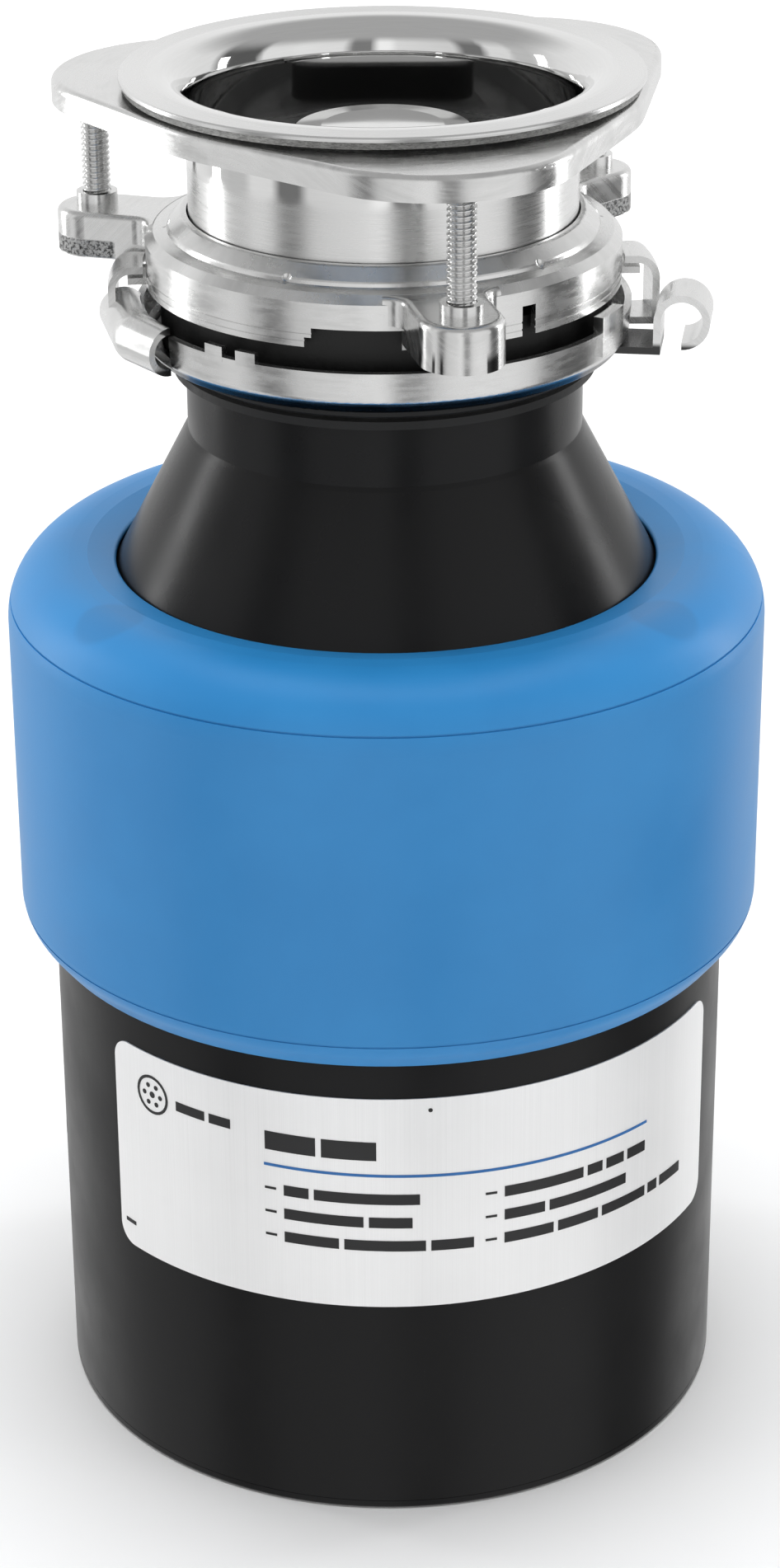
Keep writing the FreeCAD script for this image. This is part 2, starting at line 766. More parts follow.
def hook(angle):
    """A strip that rises from the band and turns in over the upper ring's ledge."""
    gauge, bend = float(d.zinc_gauge), float(d.hook_bend)
    outer, top = float(d.hook_radius), float(d.hook_top)
    lip, low = float(d.hook_lip_radius), float(d.band_bottom) + 2.5
    half_sweep = math.degrees(float(d.hook_width) / 2 / outer)
    centre_r, centre_z = outer - bend, top - bend
    slant = math.sqrt(0.5)

    def spot(r, z):
        return FreeCAD.Vector(r, 0, z)

    def quarter(radius):
        return Part.Arc(spot(centre_r + radius, centre_z),
                        spot(centre_r + radius * slant, centre_z + radius * slant),
                        spot(centre_r, centre_z + radius)).toShape()
    inner = bend - gauge
    foot = float(d.band_radius) - 1.2
    corners = [spot(foot, low), spot(outer, low), spot(outer, centre_z)]
    back = [spot(centre_r, top), spot(lip, top), spot(lip, top - gauge), spot(centre_r, top - gauge)]
    inside = [spot(centre_r + inner, centre_z), spot(centre_r + inner, low + gauge), spot(foot, low + gauge),
              corners[0]]
    edges = [Part.makeLine(a, b) for a, b in zip(corners, corners[1:])] + [quarter(bend)]
    edges += [Part.makeLine(a, b) for a, b in zip(back, back[1:])] + [quarter(inner)]
    edges += [Part.makeLine(a, b) for a, b in zip(inside, inside[1:])]
    face = Part.Face(Part.Wire(Part.__sortEdges__(edges)))
    strip = face.revolve(FreeCAD.Vector(), FreeCAD.Vector(0, 0, 1), 2 * half_sweep)
    strip.rotate(FreeCAD.Vector(), FreeCAD.Vector(0, 0, 1), angle - half_sweep)
    return strip


def make_lower_mounting_ring():
    body = start_body("lower_ring_band")
    subparts.remove(body)
    gauge = d.zinc_gauge
    revolve(body, [
        (d.band_hole_radius, d.band_bottom), (d.band_radius - 2.6, d.band_bottom),
        (d.band_radius - 0.5, d.band_bottom + 3.0), (d.band_radius, d.band_top),
        (d.band_radius - gauge, d.band_top), (d.band_radius - 2.1, d.band_bottom + 3.8),
        (d.band_radius - 3.4, d.band_bottom + gauge), (d.band_hole_radius, d.band_bottom + gauge)])
    round_circles(body, 1.6, (d.band_radius - 2.6, d.band_bottom),
                  (d.band_radius - 0.5, d.band_bottom + 3.0))
    adds = [scroll_ear(angle) for angle in SCROLL_ANGLES] + [hook(angle) for angle in HOOK_ANGLES]
    wall, top = float(d.band_radius), float(d.band_top)
    inner = wall - float(gauge)
    for angle in TAB_ANGLES:
        adds.append(ring_sector(inner, wall, angle, 2.6, top - 1.0, top + float(d.tab_height)))
    adds.append(ring_sector(inner, wall + 0.8, TONGUE_ANGLE, 5.5, top - 5.0, top + 3.8))
    rods, bore = tube_ear()
    ring = body.Shape.multiFuse(adds + rods).cut(bore).removeSplitter()
    set_shape("lower_mounting_ring", ring)


def make_cushion_mount():
    """Rubber boot: it grips the chamber's lip, seals the neck and carries the splash baffle."""
    body = start_body("cushion_mount")
    waist, wide = d.cushion_waist, d.cushion_radius
    shelf = d.band_bottom + d.zinc_gauge + 0.3
    lip = d.lip_radius
    floor = d.baffle_height
    revolve(body, [
        (d.neck_radius, d.cushion_bottom), (waist, d.cushion_bottom), (waist, d.cushion_bottom + 1.8),
        (waist - 0.6, d.cushion_bottom + 2.4), (waist, d.cushion_bottom + 3.0),
        (waist, shelf), (wide, shelf), (wide, d.cushion_top), (d.hopper_radius - 0.5, d.cushion_top),
        (d.hopper_radius - 1.5, floor + d.baffle_gauge), (d.baffle_hole, floor + d.baffle_gauge),
        (d.baffle_hole, floor), (d.hopper_radius, floor - 1.0), (d.hopper_radius, d.chamber_top),
        (lip, d.chamber_top), (lip, d.lip_bottom), (d.neck_radius, d.lip_bottom)])
    sketch = sketch_on(body, "XY_Plane", floor - 1.0)
    slit = 0.6
    draw_outline(sketch, rectangle(d.baffle_hole - 1.0, -slit, d.hopper_radius - 8.0, slit))
    slot = sink_pocket(body, sketch, 4.0, up=True)
    pattern(body, [slot], 8)


def make_stopper():
    """The lift-out stopper: a rubber cup with a metal cap on its hub."""
    body = start_body("stopper_body")
    base, rim = d.stopper_base, d.stopper_radius
    hub = d.stopper_hub_radius
    cap_seat = d.cap_top - 3.0
    revolve(body, [
        (0.0, base), (rim - 5.0, base), (rim, base + 4.0), (rim, base + 7.0), (rim - 1.6, base + 7.0),
        (rim - 5.4, base + 3.0), (hub + 2.0, base + 3.0), (hub - 1.0, base + 6.0),
        (hub - 1.0, cap_seat), (0.0, cap_seat)])
    round_circles(body, 1.4, (rim - 5.0, base))
    body = start_body("stopper_cap")
    revolve(body, [
        (0.0, cap_seat), (d.cap_radius, cap_seat), (d.cap_radius, cap_seat + 1.0),
        (d.cap_radius - 2.2, d.cap_top - 0.5), (d.cap_radius - 3.4, d.cap_top - 0.4),
        (d.cap_radius - 8.0, d.cap_top), (0.0, d.cap_top)])
    sketch = sketch_on(body, "XY_Plane", cap_seat - 1.0)
    draw_circle(sketch, d.cap_radius + 1.2, 0.0, 1.9)
    scallop = sink_pocket(body, sketch, 6.0, up=True)
    pattern(body, [scallop], 18)


# ---------------------------------------------------------------- grinding chamber

def make_chamber_body():
    """Moulded hopper: neck with its lip, cone, chamber wall, bottom flange and inlet spout."""
    body = start_body("chamber_body")
    slope = (float(d.cone_top) - float(d.cone_exit)) / (float(d.cone_exit_radius) - float(d.cone_top_radius))
    shoulder = d.cone_exit - (d.chamber_radius - d.cone_exit_radius) * slope
    wall = d.chamber_wall
    low = d.joint_height + d.joint_gasket
    flange_top = low + d.joint_flange_depth
    revolve(body, [
        (0.0, low), (d.joint_flange_radius, low), (d.joint_flange_radius, flange_top),
        (d.chamber_radius, flange_top), (d.chamber_radius, shoulder),
        (d.cone_exit_radius, d.cone_exit), (d.cone_top_radius, d.cone_top), (d.neck_radius, d.neck_foot),
        (d.neck_radius, d.lip_bottom), (d.lip_radius, d.lip_bottom), (d.lip_radius, d.chamber_top),
        (0.0, d.chamber_top)])
    face = sketch_on(body, "XZ_Plane", -d.inlet_end)
    draw_circle(face, 0.0, d.inlet_height, d.inlet_radius)
    raise_pad(body, face, d.inlet_end - d.hopper_radius)
    face = sketch_on(body, "XZ_Plane", -d.inlet_root_face)
    draw_circle(face, 0.0, d.inlet_height, d.inlet_root_radius)
    raise_pad(body, face, d.inlet_root_face - d.hopper_radius)
    groove(body, [
        (0.0, low - 1.0), (d.chamber_radius - wall, low - 1.0), (d.chamber_radius - wall, shoulder - 1.0),
        (d.hopper_radius, d.cone_top + 1.2), (d.hopper_radius, d.chamber_top + 1.0),
        (0.0, d.chamber_top + 1.0)])
    round_circles(body, 0.8, (d.lip_radius, d.lip_bottom), (d.lip_radius, d.chamber_top))
    face = sketch_on(body, "XZ_Plane", -d.inlet_end)
    draw_circle(face, 0.0, d.inlet_height, d.inlet_bore)
    sink_pocket(body, face, d.inlet_end - d.hopper_radius + 4.0, up=True)
    sketch = sketch_on(body, "XY_Plane", low)
    draw_circle(sketch, d.joint_screw_circle, 0.0, d.joint_screw_radius)
    hole = sink_pocket(body, sketch, d.joint_flange_depth + 1.0, up=True)
    pattern(body, [hole], JOINT_SCREWS)


def make_inlet_plug():
    """The knock-out disc that closes the dishwasher spout until it is used."""
    body = start_body("inlet_plug")
    sketch = sketch_on(body, "XZ_Plane", -d.inlet_plug_face)
    draw_circle(sketch, 0.0, d.inlet_height, d.inlet_bore)
    raise_pad(body, sketch, d.inlet_plug_gauge)


def make_grind_ring():
    body = start_body("grind_ring")
    inner = d.grind_ring_radius - d.grind_ring_gauge
    revolve(body, rectangle(inner, d.grind_ring_bottom, d.grind_ring_radius, d.grind_ring_top))
    half = d.grind_slot_width / 2
    sketch = sketch_on(body, "XY_Plane", d.grind_ring_bottom - 0.5)
    draw_outline(sketch, rectangle(inner - 1.0, -half, d.grind_ring_radius + 1.0, half))
    slot = sink_pocket(body, sketch, d.grind_slot_height, up=True)
    pattern(body, [slot], GRIND_SLOTS)


def make_turntable():
    """The spinning disc, with a drain hole either side of its hub."""
    body = start_body("turntable")
    low, high = d.turntable_height, d.turntable_height + d.turntable_gauge
    revolve(body, [(d.shaft_radius, low - 5.0), (13.0, low - 5.0), (13.0, low),
                   (d.turntable_radius, low), (d.turntable_radius, high), (d.shaft_radius, high)])
    sketch = sketch_on(body, "XY_Plane", high)
    draw_circle(sketch, 0.0, d.lug_circle + 6.0, 3.5)
    draw_circle(sketch, 0.0, -d.lug_circle - 6.0, 3.5)
    draw_circle(sketch, d.lug_circle, 0.0, d.rivet_radius)
    draw_circle(sketch, -d.lug_circle, 0.0, d.rivet_radius)
    sink_pocket(body, sketch, d.turntable_gauge + 1.0)


def make_lug_rivets():
    """A headed pivot for each swivelling lug."""
    rivets = []
    table_low = d.turntable_height
    table_high = d.turntable_height + d.turntable_gauge
    shank = d.turntable_gauge + d.lug_thickness + 0.6
    for number, side in enumerate((1.0, -1.0)):
        x = d.lug_circle * side
        pin = cylinder(f"rivet_pin_{number}", d.rivet_radius, shank, (x, 0.0, table_low))
        head = cylinder(f"rivet_head_{number}", 6.4, 1.8, (x, 0.0, table_high + d.lug_thickness + 0.6))
        foot = cylinder(f"rivet_foot_{number}", 5.6, 1.4, (x, 0.0, table_low - 1.4))
        rivets.append(boolean("MultiFuse", f"rivet_{number}", [pin, head, foot]))
    group = doc.addObject("Part::Compound", "lug_rivets")
    group.Links = rivets
    finished(group, "lug_rivets")


def make_swivel_lug(label, side):
    """A hardened lug with a long nose that flies out against the grind ring."""
    body = start_body(label)
    low = d.turntable_height + d.turntable_gauge + 0.3
    pivot = d.lug_circle * side
    half = d.lug_half_width
    sketch = sketch_on(body, "XY_Plane", low)
    draw_outline(sketch, [
        (pivot - d.lug_heel * side, -half), (pivot + (d.lug_reach - 7.0) * side, -half),
        (pivot + d.lug_reach * side, -half + 4.0), (pivot + d.lug_reach * side, half - 4.0),
        (pivot + (d.lug_reach - 7.0) * side, half), (pivot - d.lug_heel * side, half)])
    raise_pad(body, sketch, d.lug_thickness)
    sketch = sketch_on(body, "XY_Plane", low - 0.5)
    draw_circle(sketch, pivot, 0.0, d.lug_bore)
    sink_pocket(body, sketch, d.lug_thickness + 1.0, up=True)


def make_turntable_nut():
    body = start_body("turntable_nut")
    low = d.turntable_height + d.turntable_gauge
    sketch = sketch_on(body, "XY_Plane", low)
    draw_outline(sketch, [on_circle(10.4, 60.0 * corner) for corner in range(6)])
    draw_circle(sketch, 0.0, 0.0, d.shaft_radius)
    raise_pad(body, sketch, 8.0)


# ---------------------------------------------------------------- drain chamber and discharge

def make_drain_chamber():
    """The lower half of the chamber: floor, hub round the shaft, wall, flange and outlet."""
    body = start_body("drain_chamber")
    floor, deck = d.drain_floor, d.drain_floor + d.drain_floor_gauge
    wall = d.chamber_wall
    top = d.joint_height
    ledge = top - d.joint_flange_depth
    revolve(body, [
        (8.0, floor), (d.chamber_radius, floor), (d.chamber_radius, ledge), (d.joint_flange_radius, ledge),
        (d.joint_flange_radius, top), (d.chamber_radius - wall, top), (d.chamber_radius - wall, deck),
        (d.drain_hub_radius, deck), (d.drain_hub_radius, d.drain_hub_top), (12.2, d.drain_hub_top),
        (12.2, d.drain_hub_top - 10.0), (8.0, d.drain_hub_top - 10.0)])
    sketch = sketch_on(body, "XY_Plane", ledge)
    draw_circle(sketch, d.joint_screw_circle, 0.0, d.joint_screw_radius)
    hole = sink_pocket(body, sketch, d.joint_flange_depth + 1.0, up=True)
    pattern(body, [hole], JOINT_SCREWS)
    root = d.chamber_radius - d.chamber_wall - 2.0
    face = sketch_on(body, "XZ_Plane", -d.outlet_face)
    draw_circle(face, 0.0, d.outlet_height, d.outlet_bore + d.outlet_wall)
    raise_pad(body, face, d.outlet_face - root)
    face = sketch_on(body, "XZ_Plane", -d.outlet_face)
    wide, tall = d.outlet_pad_half_width, d.outlet_pad_half_height
    draw_outline(face, rectangle(-wide, d.outlet_height - tall, wide, d.outlet_height + tall))
    raise_pad(body, face, d.outlet_pad_depth)
    face = sketch_on(body, "XZ_Plane", -d.outlet_face)
    draw_circle(face, 0.0, d.outlet_height, d.outlet_bore)
    sink_pocket(body, face, d.outlet_face - root + 1.0, up=True)
    face = sketch_on(body, "XZ_Plane", -d.outlet_face)
    half = d.discharge_screw_spacing / 2
    draw_circle(face, half, d.outlet_height, d.joint_screw_radius + 0.4)
    draw_circle(face, -half, d.outlet_height, d.joint_screw_radius + 0.4)
    sink_pocket(body, face, d.outlet_pad_depth + 1.0, up=True)


def make_joint_gasket():
    body = start_body("chamber_gasket")
    low, high = d.joint_height, d.joint_height + d.joint_gasket
    revolve(body, rectangle(d.chamber_radius - d.chamber_wall, low, d.joint_screw_circle - 2.4, high))


def make_chamber_screws():
    """Six screws that clamp the two halves of the chamber."""
    screws = []
    low = d.joint_height - d.joint_flange_depth - 2.0
    high = d.joint_height + d.joint_gasket + d.joint_flange_depth
    for number in range(JOINT_SCREWS):
        x, y = on_circle(d.joint_screw_circle, 360.0 * number / JOINT_SCREWS)
        shank = cylinder(f"joint_shank_{number}", d.joint_screw_radius, high - low, (x, y, low))
        head = cylinder(f"joint_head_{number}", 3.2, 2.4, (x, y, high))
        screws.append(boolean("MultiFuse", f"joint_screw_{number}", [shank, head]))
    group = doc.addObject("Part::Compound", "chamber_screws")
    group.Links = screws
    finished(group, "chamber_screws")


def make_shaft_seal():
    body = start_body("shaft_seal")
    top = d.drain_hub_top
    revolve(body, [(d.shaft_radius + 0.05, top - 6.0), (7.4, top - 9.8), (12.2, top - 9.8), (12.2, top - 1.0),
                   (9.0, top - 1.0), (9.0, top - 6.0)])


def make_water_slinger():
    """A rubber skirt on the shaft that throws water off the seal."""
    body = start_body("water_slinger")
    top = d.turntable_height - 5.0
    under = d.drain_hub_top + 1.5
    revolve(body, [(d.shaft_radius, under), (d.drain_hub_radius + 1.2, under),
                   (d.drain_hub_radius + 2.5, under - 3.0), (d.drain_hub_radius + 4.0, under - 3.0),
                   (11.0, top), (d.shaft_radius, top)])


def make_discharge_gasket():
    body = start_body("discharge_gasket")
    sketch = sketch_on(body, "XZ_Plane", -d.outlet_face - d.discharge_gasket_gauge)
    draw_circle(sketch, 0.0, d.outlet_height, d.discharge_collar_radius - 0.5)
    draw_circle(sketch, 0.0, d.outlet_height, d.outlet_bore)
    raise_pad(body, sketch, d.discharge_gasket_gauge)


def discharge_plate_back():
    return d.outlet_face + d.discharge_gasket_gauge * 2 + d.discharge_plate_gauge


def make_discharge_plate():
    """The pressed plate that clamps the elbow's collar to the outlet."""
    body = start_body("discharge_plate")
    half = d.discharge_screw_spacing / 2
    tip = half + 6.5
    tall = d.discharge_collar_radius + 2.0
    brow = d.discharge_collar_radius * 0.6
    up, down = d.outlet_height + tall, d.outlet_height - tall
    mid_up, mid_down = d.outlet_height + 6.5, d.outlet_height - 6.5
    sketch = sketch_on(body, "XZ_Plane", -discharge_plate_back())
    draw_outline(sketch, [(-tip, mid_down), (-brow, down), (brow, down), (tip, mid_down),
                          (tip, mid_up), (brow, up), (-brow, up), (-tip, mid_up)])
    draw_circle(sketch, 0.0, d.outlet_height, d.waste_pipe_radius + 0.3)
    draw_circle(sketch, half, d.outlet_height, d.joint_screw_radius + 0.5)
    draw_circle(sketch, -half, d.outlet_height, d.joint_screw_radius + 0.5)
    raise_pad(body, sketch, d.discharge_plate_gauge)


def make_discharge_screws():
    screws = []
    half = d.discharge_screw_spacing / 2
    back, start = discharge_plate_back(), d.outlet_face - d.outlet_pad_depth - 2.0
    for number, x in enumerate((half, -half)):
        shank = cylinder(f"discharge_shank_{number}", d.joint_screw_radius + 0.4, back - start,
                         (x, start, d.outlet_height), (0, 1, 0))
        head = cylinder(f"discharge_head_{number}", 4.4, 3.0, (x, back, d.outlet_height), (0, 1, 0))
        screws.append(boolean("MultiFuse", f"discharge_screw_{number}", [shank, head]))
    group = doc.addObject("Part::Compound", "discharge_screws")
    group.Links = screws
    finished(group, "discharge_screws")


def bent_pipe(radius, overshoot):
    """A level run back from the outlet, a quarter bend and a drop, as one solid bar."""
    height, bend = float(d.outlet_height), float(d.discharge_bend)
    start = float(d.outlet_face + d.discharge_gasket_gauge) - overshoot
    corner = float(d.discharge_centre) - bend
    end = float(d.discharge_end) - overshoot
    level = Part.makeCylinder(radius, corner - start, FreeCAD.Vector(0, start, height), FreeCAD.Vector(0, 1, 0))
    disc = Part.Face(Part.Wire(Part.makeCircle(radius, FreeCAD.Vector(0, corner, height),
                                               FreeCAD.Vector(0, 1, 0))))
    turn = disc.revolve(FreeCAD.Vector(0, corner, height - bend), FreeCAD.Vector(-1, 0, 0), 90)
    drop = Part.makeCylinder(radius, height - bend - end, FreeCAD.Vector(0, corner + bend, end))
    return level.fuse([turn, drop]).removeSplitter()


def make_discharge_elbow():
    radius = float(d.waste_pipe_radius)
    face = float(d.outlet_face + d.discharge_gasket_gauge)
    collar = Part.makeCylinder(float(d.discharge_collar_radius), float(d.discharge_gasket_gauge),
                               FreeCAD.Vector(0, face, float(d.outlet_height)), FreeCAD.Vector(0, 1, 0))
    pipe = bent_pipe(radius, 0.0).fuse(collar).cut(bent_pipe(radius - float(d.waste_pipe_gauge), 1.0))
    set_shape("discharge_elbow", pipe.removeSplitter())


# ---------------------------------------------------------------- sound shell

def window_sketch(body, margin):
    """A rectangle behind the object, round the outlet's pad."""
    face = sketch_on(body, "XZ_Plane", -d.outlet_face - 10.0)
    wide, tall = d.outlet_pad_half_width + margin, d.outlet_pad_half_height + margin
    draw_outline(face, rectangle(-wide, d.outlet_height - tall, wide, d.outlet_height + tall))
    return face


def make_sound_shell():
    """The moulded jacket that hangs over the chamber, open at the back for the outlet."""
    body = start_body("sound_shell")
    gauge = d.shell_gauge
    inside = d.shell_radius - gauge
    crown = d.shell_crown
    foot_inner = d.housing_radius + 0.4
    revolve(body, [
        (d.shell_hole + gauge * 0.6, d.shell_hole_height - gauge), (d.shell_hole, d.shell_hole_height),
        (d.shell_crown_radius - 4.0, crown), (d.shell_radius, crown), (d.shell_radius, d.shell_foot_top),
        (d.shell_foot_radius, d.shell_bottom), (foot_inner, d.shell_bottom),
        (foot_inner, d.shell_bottom + 2.0), (d.shell_foot_radius - 1.2, d.shell_bottom + 2.0),
        (inside, d.shell_foot_top + 1.4), (inside, crown - gauge), (d.shell_crown_radius - 4.0, crown - gauge)])
    round_circles(body, d.shell_shoulder_rounding, (d.shell_radius, crown))
    round_circles(body, d.shell_shoulder_rounding - gauge, (inside, crown - gauge))
    round_circles(body, d.shell_foot_rounding, (d.shell_radius, d.shell_foot_top))
    round_circles(body, 0.8, (d.shell_foot_radius, d.shell_bottom), (d.shell_hole, d.shell_hole_height))
    seam = 0.25
    rim = d.shell_radius
    shoulder_seam = rim - 0.66
    groove(body, rectangle(shoulder_seam - seam, d.shell_upper_seam - seam, rim + 1.0,
                           d.shell_upper_seam + seam),
           rectangle(rim - seam - 0.1, d.shell_lower_seam - seam, rim + 1.0, d.shell_lower_seam + seam))
    sink_pocket(body, window_sketch(body, 1.5), 40.0, up=True)


def make_sound_insulation():
    """Foam lining between the chamber and the jacket."""
    body = start_body("sound_insulation")
    revolve(body, rectangle(d.foam_inner, d.foam_bottom, d.shell_radius - d.shell_gauge - 0.2, d.foam_top))
    sink_pocket(body, window_sketch(body, 1.5), 60.0, up=True)


# ---------------------------------------------------------------- housing and base

def make_motor_housing():
    tube = start_body("housing_tube")
    subparts.remove(tube)
    revolve(tube, rectangle(d.housing_radius - d.housing_gauge, d.base_bead_height + 0.1,
                            d.housing_radius, d.housing_top))
    ball = 3.6
    dimples = []
    for number, (angle, height) in enumerate(HOUSING_DIMPLES):
        x, y = on_circle(d.housing_radius + ball - d.dimple_depth, angle)
        dimple = doc.addObject("Part::Sphere", f"housing_dimple_{number}")
        dimple.Radius = ball
        set_place(dimple, (x, y, height), FreeCAD.Rotation())
        dimples.append(dimple)
    finished(cut("motor_housing", tube, boolean("MultiFuse", "housing_dimples", dimples)), "motor_housing")


def make_base_cover():
    """The pressed pan that closes the housing: foot rim, floor and wrench collar."""
    body = start_body("base_cover")
    floor, deck = d.base_floor, d.base_floor + d.base_gauge
    sleeve = d.housing_radius - d.housing_gauge - 0.2
    revolve(body, [
        (d.wrench_hole_radius, 0.0), (d.wrench_collar_radius, 0.0), (d.wrench_collar_radius, floor),
        (d.base_rim_radius, floor), (d.base_rim_radius, 0.0), (d.housing_radius, 0.0),
        (d.housing_radius, d.base_bead_height), (sleeve, d.base_bead_height), (sleeve, deck + 8.0),
        (sleeve - d.base_gauge, deck + 8.0), (sleeve - d.base_gauge, deck), (d.wrench_hole_radius, deck)])
    round_circles(body, 1.0, (d.housing_radius, 0.0))
    sketch = sketch_on(body, "XY_Plane", floor)
    draw_circle(sketch, d.supply_hole_x, d.supply_hole_y, d.supply_hole_radius)
    draw_circle(sketch, d.button_x, d.button_y, d.button_radius + 0.4)
    draw_circle(sketch, d.ground_x, d.ground_y, d.joint_screw_radius)
    draw_circle(sketch, 0.0, d.terminal_high_y - 5.0, d.joint_screw_radius)
    margin = 4.0
    draw_outline(sketch, rectangle(margin - d.terminal_half_width, d.terminal_low_y + margin,
                                   d.terminal_half_width - margin, d.terminal_high_y - margin * 2.5))
    sink_pocket(body, sketch, d.base_gauge + 0.5, up=True)


def make_terminal_cover():
    """The plate that closes the wiring opening, and the screw that holds it."""
    body = start_body("terminal_cover")
    gauge = d.base_gauge - 0.2
    low = d.base_floor - gauge
    screw_y = d.terminal_high_y - 5.0
    sketch = sketch_on(body, "XY_Plane", low)
    draw_outline(sketch, rectangle(-d.terminal_half_width, d.terminal_low_y, d.terminal_half_width,
                                   d.terminal_high_y))
    draw_circle(sketch, 0.0, screw_y, d.joint_screw_radius)
    raise_pad(body, sketch, gauge)
    shank = cylinder("terminal_shank", d.joint_screw_radius - 0.1, 8.0, (0.0, screw_y, low))
    head = cylinder("terminal_head", 3.6, 1.5, (0.0, screw_y, low - 1.5))
    finished(boolean("MultiFuse", "terminal_screw", [shank, head]), "terminal_screw")


def make_ground_screw():
    x, y = d.ground_x, d.ground_y
    shank = cylinder("ground_shank", d.joint_screw_radius - 0.1, 9.0, (x, y, d.base_floor))
    head = cylinder("ground_head", 4.2, 2.2, (x, y, d.base_floor - 2.2))
    finished(boolean("MultiFuse", "ground_screw", [shank, head]), "ground_screw")


def make_overload_protector():
    """The thermal cut-out, with a well for the reset button in its underside."""
    body = start_body("overload_protector")
    low = d.base_floor + d.base_gauge
    x, y = d.button_x, d.button_y
    sketch = sketch_on(body, "XY_Plane", low)
    draw_outline(sketch, rectangle(x - 11.0, y - 10.0, x + 11.0, y + 10.0))
    raise_pad(body, sketch, 14.0)
    sketch = sketch_on(body, "XY_Plane", low)
    draw_circle(sketch, x, y, d.button_radius + 0.4)
    sink_pocket(body, sketch, d.button_length, up=True)


def make_reset_button():
    body = start_body("reset_button")
    sketch = sketch_on(body, "XY_Plane", d.button_face)
    draw_circle(sketch, d.button_x, d.button_y, d.button_radius)
    raise_pad(body, sketch, d.button_length)
    round_circles(body, 0.6, (d.button_radius, d.button_face))


def make_supply_leads():
    """Two insulated leads that loop from the wiring opening towards the motor."""
    for label, y in (("lead_black", 42.0), ("lead_white", 50.0)):
        lead = doc.addObject("Part::Torus", label)
        lead.Radius1 = 12.0
        lead.Radius2 = 1.5
        lead.Angle3 = 180.0
        upright = FreeCAD.Rotation(FreeCAD.Vector(1, 0, 0), 90)
        set_place(lead, (0.0, y, d.base_floor + d.base_gauge + 1.0), upright)
        finished(lead, label)


def make_nameplate():
    """A thin metal label bent round the housing's front, with rounded corners."""
    inner = float(d.housing_radius)
    plate = ring_sector(inner, inner + float(d.label_gauge), float(d.label_middle), float(d.label_sweep) / 2,
                        float(d.label_bottom), float(d.label_top))
    corners = [edge for edge in plate.Edges if edge.Length < float(d.label_gauge) * 1.5]
    set_shape("nameplate", plate.makeFillet(float(d.label_corner), corners))


# ---------------------------------------------------------------- motor

def bolt_holes(body, height, depth, radius):
    """One hole per through bolt, cut upward from this height."""
    sketch = sketch_on(body, "XY_Plane", height)
    for angle in THROUGH_BOLT_ANGLES:
        x, y = on_circle(d.through_bolt_circle, angle)
        draw_circle(sketch, x, y, radius)
    sink_pocket(body, sketch, depth, up=True)


def make_end_frames():
    """Cast frames that centre the stator and hold the two bearings."""
    seat_inner, seat_outer = 63.5, 70.0
    body = start_body("upper_end_frame")
    top, low = d.upper_frame_top, d.upper_frame_bottom
    revolve(body, [
        (d.bearing_radius, d.upper_boss_bottom), (d.boss_outer, d.upper_boss_bottom), (d.boss_outer, low),
        (seat_inner, low), (seat_inner, d.stator_top), (seat_outer, d.stator_top), (seat_outer, low),
        (d.frame_radius, low), (d.frame_radius, top), (8.0, top), (8.0, top - 4.0),
        (d.bearing_radius, top - 4.0)])
    bolt_holes(body, low - 1.0, top - low + 2.0, d.through_bolt_radius)
    body = start_body("lower_end_frame")
    top, low = d.lower_frame_top, d.lower_frame_bottom
    revolve(body, [
        (d.bearing_radius, d.lower_boss_bottom), (d.boss_outer, d.lower_boss_bottom), (d.boss_outer, low),
        (d.frame_radius, low), (d.frame_radius, top), (seat_outer, top), (seat_outer, d.stator_bottom),
        (seat_inner, d.stator_bottom), (seat_inner, top), (d.bearing_radius, top)])
    bolt_holes(body, low - 1.0, top - low + 2.0, d.through_bolt_radius)
    sketch = sketch_on(body, "XY_Plane", low - 1.0)
    draw_circle(sketch, *on_circle(52.0, 30.0), 8.0)
    vent = sink_pocket(body, sketch, top - low + 2.0, up=True)
    pattern(body, [vent], 6)


def make_bearings():
    body = start_body("upper_bearing")
    revolve(body, rectangle(d.shaft_bore, d.upper_boss_bottom + 0.5, d.bearing_radius, d.upper_frame_top - 4.0))
    body = start_body("lower_bearing")
    revolve(body, rectangle(d.shaft_bore, d.lower_boss_bottom, d.bearing_radius, d.lower_frame_top + 0.4))
    body = start_body("thrust_washer")
    washer_low = d.lower_frame_top + 0.7
    revolve(body, rectangle(d.shaft_radius, washer_low, d.bearing_radius, washer_low + 1.5))


def make_stator():
    body = start_body("stator_core")
    revolve(body, rectangle(d.stator_bore, d.stator_bottom, d.stator_radius, d.stator_top))
    half = d.slot_width / 2
    reach = d.stator_bore + d.slot_depth
    sketch = sketch_on(body, "XY_Plane", d.stator_bottom)
    draw_outline(sketch, rectangle(d.stator_bore - 2.0, -half, reach, half))
    slot = sink_pocket(body, sketch, d.stator_top - d.stator_bottom + 1.0, up=True)
    pattern(body, [slot], STATOR_SLOTS)
    body = start_body("stator_windings")
    bulge = d.winding_bulge
    inner, outer = d.winding_inner, d.winding_outer
    foot = d.stator_bottom - bulge
    gap = 0.3
    revolve(body, rectangle(inner, foot, outer, d.stator_bottom - gap))
    round_circles(body, 4.0, (inner, foot), (outer, foot))
    sketch = sketch_on(body, "XY_Plane", d.stator_bottom - 2.0)
    slim = half - 0.3
    draw_outline(sketch, rectangle(inner + 0.5, -slim, reach - 0.4, slim))
    bar = raise_pad(body, sketch, d.stator_top - d.stator_bottom + 4.0)
    pattern(body, [bar], STATOR_SLOTS)
    revolve(body, rectangle(inner, d.stator_top + gap, outer, d.stator_top + bulge))
    round_circles(body, 4.0, (inner, d.stator_top + bulge), (outer, d.stator_top + bulge))


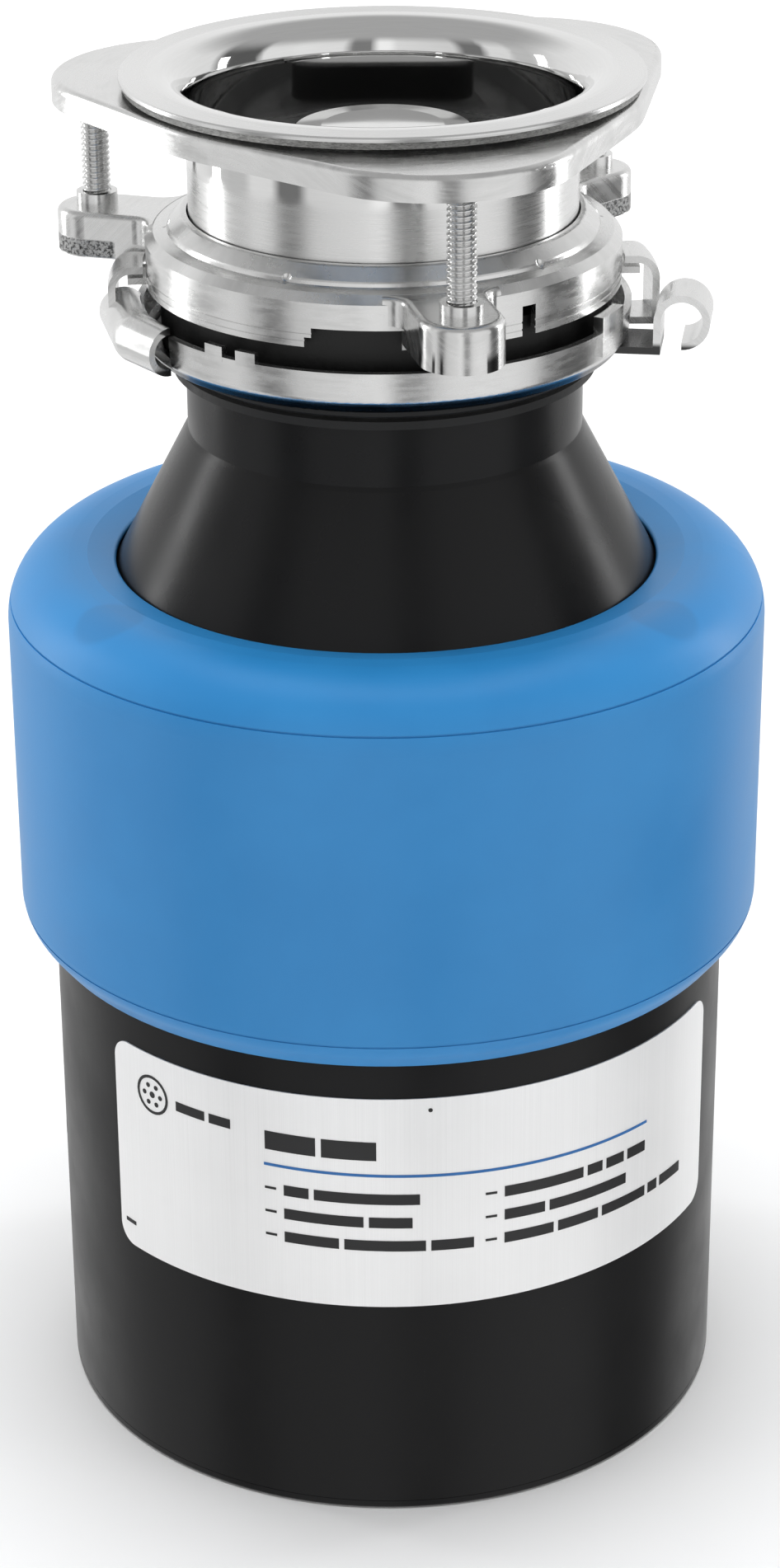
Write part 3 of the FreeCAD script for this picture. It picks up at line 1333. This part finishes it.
def make_rotor():
    body = start_body("rotor_core")
    revolve(body, rectangle(d.shaft_radius, d.rotor_bottom, d.rotor_radius, d.rotor_top))
    low, high = d.rotor_bottom - d.end_ring_height, d.rotor_top + d.end_ring_height
    inner, outer = d.rotor_radius - 12.0, d.rotor_radius - 1.0
    rings = []
    for name, bottom in (("lower", low), ("upper", d.rotor_top)):
        full = cylinder(f"end_ring_{name}_disc", outer, high - d.rotor_top, (0.0, 0.0, bottom))
        hole = cylinder(f"end_ring_{name}_hole", inner, high - d.rotor_top + 2.0, (0.0, 0.0, bottom - 1.0))
        rings.append(cut(f"end_ring_{name}", full, hole))
    group = doc.addObject("Part::Compound", "rotor_end_rings")
    group.Links = rings
    finished(group, "rotor_end_rings")


def make_motor_shaft():
    """The shaft, with a hexagonal socket in its foot for the service wrench."""
    body = start_body("motor_shaft")
    revolve(body, rectangle(0.0, d.shaft_bottom, d.shaft_radius, d.shaft_top))
    round_circles(body, 0.8, (d.shaft_radius, d.shaft_bottom), (d.shaft_radius, d.shaft_top))
    socket_corner = 6.35 / math.sqrt(3.0)
    sketch = sketch_on(body, "XY_Plane", d.shaft_bottom)
    draw_outline(sketch, [on_circle(socket_corner, 60.0 * corner) for corner in range(6)])
    sink_pocket(body, sketch, 9.0, up=True)


def make_start_switch():
    """The throw-out collar that rides on the shaft, and the switch that it works."""
    body = start_body("throw_out_collar")
    low = d.throw_collar_height
    revolve(body, [(d.shaft_bore, low), (d.throw_collar_radius, low), (d.throw_collar_radius, low + 2.0),
                   (11.0, low + 2.0), (11.0, low + 7.5), (d.shaft_bore, low + 7.5)])
    case = box("switch_case", 15.0, 14.0, 6.0, (d.throw_collar_radius + 5.0, -7.0, d.lower_frame_top))
    arm = box("switch_arm", 9.0, 5.0, 0.8, (d.throw_collar_radius - 3.5, -2.5, d.lower_frame_top + 2.0))
    finished(boolean("MultiFuse", "start_switch", [case, arm]), "start_switch")


def make_through_bolts():
    bolts = []
    for number, angle in enumerate(THROUGH_BOLT_ANGLES):
        x, y = on_circle(d.through_bolt_circle, angle)
        shank = cylinder(f"through_shank_{number}", d.through_bolt_radius,
                         d.upper_frame_top - d.lower_frame_bottom, (x, y, d.lower_frame_bottom))
        head = cylinder(f"through_head_{number}", d.through_bolt_radius + 1.6, 3.5,
                        (x, y, d.lower_frame_bottom - 3.5))
        bolts.append(boolean("MultiFuse", f"through_bolt_{number}", [shank, head]))
    group = doc.addObject("Part::Compound", "through_bolts")
    group.Links = bolts
    finished(group, "through_bolts")


# ---------------------------------------------------------------- write the parts

def main():
    make_sink_flange()
    make_fibre_gasket()
    make_backup_flange()
    make_mounting_screws()
    make_snap_ring()
    make_upper_mounting_ring()
    make_lower_mounting_ring()
    make_cushion_mount()
    make_stopper()
    make_chamber_body()
    make_inlet_plug()
    make_grind_ring()
    make_turntable()
    make_lug_rivets()
    make_swivel_lug("swivel_lug_a", 1.0)
    make_swivel_lug("swivel_lug_b", -1.0)
    make_turntable_nut()
    make_drain_chamber()
    make_joint_gasket()
    make_chamber_screws()
    make_shaft_seal()
    make_water_slinger()
    make_discharge_gasket()
    make_discharge_plate()
    make_discharge_screws()
    make_discharge_elbow()
    make_sound_shell()
    make_sound_insulation()
    make_motor_housing()
    make_base_cover()
    make_terminal_cover()
    make_ground_screw()
    make_overload_protector()
    make_reset_button()
    make_supply_leads()
    make_nameplate()
    make_end_frames()
    make_bearings()
    make_stator()
    make_rotor()
    make_motor_shaft()
    make_start_switch()
    make_through_bolts()
    write_parts()


def write_parts():
    doc.recompute()
    for item in doc.Objects:
        if "Invalid" in item.State or "Error" in item.State:
            raise RuntimeError(f"{item.Label} failed: {item.State}")
    os.makedirs("parts", exist_ok=True)
    for piece in subparts:
        shape = piece.Shape
        if shape.isNull() or not shape.isValid() or shape.Volume <= 0:
            raise RuntimeError(f"{piece.Label} has no valid shape")
        shape.exportStep(f"parts/{piece.Label}.step")
        low, high = shape.BoundBox, shape.BoundBox
        print(f"{piece.Label:24s} solids {len(shape.Solids):2d}  volume {shape.Volume / 1000:9.2f} cm3"
              f"  z {low.ZMin:7.2f} to {high.ZMax:7.2f}")
    print(len(subparts), "sub-parts")


main()
